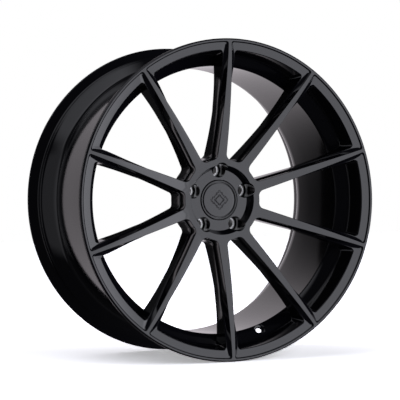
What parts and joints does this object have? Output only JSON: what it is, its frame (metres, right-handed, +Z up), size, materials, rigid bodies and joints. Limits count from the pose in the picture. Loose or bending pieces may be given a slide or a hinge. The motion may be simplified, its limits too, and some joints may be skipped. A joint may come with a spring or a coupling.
{
  "type": "forged wheel rim",
  "caption": "Forged ten-spoke racing wheel rim in satin black with deep bolt pockets and a push-in centre cap.",
  "frame": {"origin": "centre of the wheel, on its axis and midway between the two rim flanges", "axes": "the wheel turns about Y; -Y is the outboard face and +Y the side that meets the vehicle's hub; +Z is up, along spoke_01"},
  "size_m": [0.5982, 0.2888, 0.5982],
  "materials": {
    "gloss_black_alloy": "satin to gloss black powder coat over forged aluminium",
    "bare_seat": "turned, unpainted",
    "cap_plastic": "satin black moulding",
    "spring_steel": "drawn wire"
  },
  "bodies": {
    "wheel": {"hub": "gloss_black_alloy", "spoke_01": "gloss_black_alloy", "spoke_02": "gloss_black_alloy", "spoke_03": "gloss_black_alloy", "spoke_04": "gloss_black_alloy", "spoke_05": "gloss_black_alloy", "spoke_06": "gloss_black_alloy", "spoke_07": "gloss_black_alloy", "spoke_08": "gloss_black_alloy", "spoke_09": "gloss_black_alloy", "spoke_10": "gloss_black_alloy", "outboard_lip": "gloss_black_alloy", "drop_centre": "gloss_black_alloy", "barrel": "gloss_black_alloy", "inboard_lip": "gloss_black_alloy", "bolt_seat_1": "bare_seat", "bolt_seat_2": "bare_seat", "bolt_seat_3": "bare_seat", "bolt_seat_4": "bare_seat", "bolt_seat_5": "bare_seat"},
    "centre_cap": {"cap_shell": "cap_plastic", "cap_badge": "cap_plastic", "cap_spring": "spring_steel"}
  },
  "joints": [
    {"name": "cap_pull", "type": "slide", "parent": "wheel", "child": "centre_cap", "axis": [0, -1, 0], "range_m": [0, 0.05]}
  ]
}
